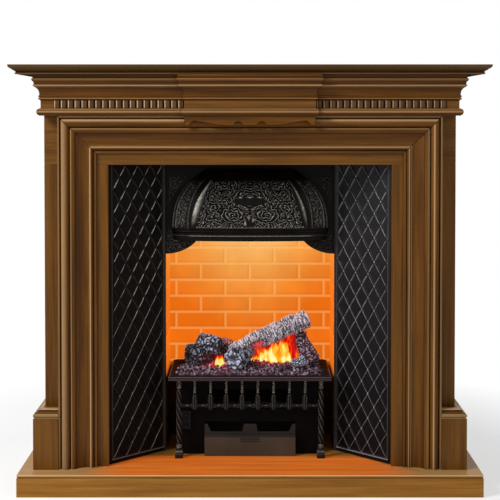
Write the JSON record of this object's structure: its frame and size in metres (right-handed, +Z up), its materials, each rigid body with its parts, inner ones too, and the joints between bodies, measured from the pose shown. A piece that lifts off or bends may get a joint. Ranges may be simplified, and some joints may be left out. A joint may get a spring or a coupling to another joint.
{
  "type": "electric fireplace suite",
  "caption": "Free-standing wooden mantel and hearth round a cast electric fire insert with lattice cheeks, hood, brick niche and a basket with a lift-out log bed.",
  "frame": {"origin": "centre of the hearth's underside, on the floor", "axes": "+Z up, +X to the right seen from the front, +Y towards the wall"},
  "size_m": [1.414, 0.46, 1.27],
  "materials": {
    "mahogany": "satin lacquer on mahogany-stained wood",
    "shelf_mahogany": "satin lacquer on darker mahogany-stained wood",
    "cast_black": "black-leaded casting, ridges rubbed bright",
    "sheet_black": "satin black paint on sheet steel",
    "brick": "matt brick-effect panel lit orange",
    "steel": "plain steel",
    "embers": "moulded ember bed, painted ash grey and glowing red",
    "log": "moulded logs painted as charred wood",
    "lamp": "warm tube lamp",
    "plastic": "black moulded plastic"
  },
  "bodies": {
    "root": {"hearth_top": "mahogany", "hearth_riser": "mahogany", "leg_panel_left": "mahogany", "leg_panel_right": "mahogany", "header_panel": "mahogany", "side_panel_left": "mahogany", "side_panel_right": "mahogany", "rear_rail": "mahogany", "plinth_block_left": "mahogany", "plinth_block_right": "mahogany", "plinth_cap_left": "mahogany", "plinth_cap_right": "mahogany", "architrave_left": "mahogany", "architrave_right": "mahogany", "architrave_head": "mahogany", "inner_strip_left": "mahogany", "inner_strip_right": "mahogany", "inner_strip_head": "mahogany", "frieze_board": "mahogany", "frieze_bead": "mahogany", "reeded_strip_left": "mahogany", "reeded_strip_right": "mahogany", "centre_tablet": "mahogany", "centre_apron": "mahogany", "cornice": "mahogany", "mantel_shelf": "shelf_mahogany", "shelf_lip": "shelf_mahogany", "cheek_left": "cast_black", "cheek_right": "cast_black", "fascia": "cast_black", "canopy": "sheet_black", "hood": "cast_black", "hood_panel": "cast_black", "hood_rim": "cast_black", "brick_back": "brick", "brick_side_left": "brick", "brick_side_right": "brick", "casing": "sheet_black", "glow_lamp": "lamp", "basket_tray": "cast_black", "leg_left": "cast_black", "leg_right": "cast_black", "front_grate": "cast_black", "heater_housing": "sheet_black", "fan_motor": "steel", "heating_element": "steel", "mist_tank": "plastic", "cable_gland": "plastic", "control_panel": "plastic"},
    "fuel_bed": {"ember_bed": "embers", "log_rear_left": "log", "log_upper_left": "log", "log_front": "log", "log_diagonal": "log", "log_right": "log"},
    "ash_pan": {"ash_pan": "sheet_black"},
    "power_rocker": {"power_rocker": "plastic"},
    "heat_rocker": {"heat_rocker": "plastic"},
    "flame_knob": {"flame_knob": "steel"},
    "fan_rotor": {"fan_rotor": "plastic"}
  },
  "joints": [
    {"name": "fuel_bed_lift", "type": "slide", "parent": "root", "child": "fuel_bed", "axis": [0, 0, 1], "range_m": [0, 0.06]},
    {"name": "ash_pan_slide", "type": "slide", "parent": "root", "child": "ash_pan", "axis": [0, -1, 0], "range_m": [0, 0.17]},
    {"name": "power_rocker_tilt", "type": "hinge", "parent": "root", "child": "power_rocker", "pos_m": [-0.198, -0.0286, 0.1903], "axis": [1, 0, 0], "range_deg": [-6, 6]},
    {"name": "heat_rocker_tilt", "type": "hinge", "parent": "root", "child": "heat_rocker", "pos_m": [-0.198, -0.0286, 0.1763], "axis": [1, 0, 0], "range_deg": [-6, 6]},
    {"name": "flame_knob_turn", "type": "hinge", "parent": "root", "child": "flame_knob", "pos_m": [-0.198, -0.03, 0.158], "axis": [0, -1, 0], "range_deg": [0, 270]},
    {"name": "fan_spin", "type": "hinge", "parent": "root", "child": "fan_rotor", "pos_m": [0, 0.049, 0.2371], "axis": [1, 0, 0], "continuous": true}
  ]
}
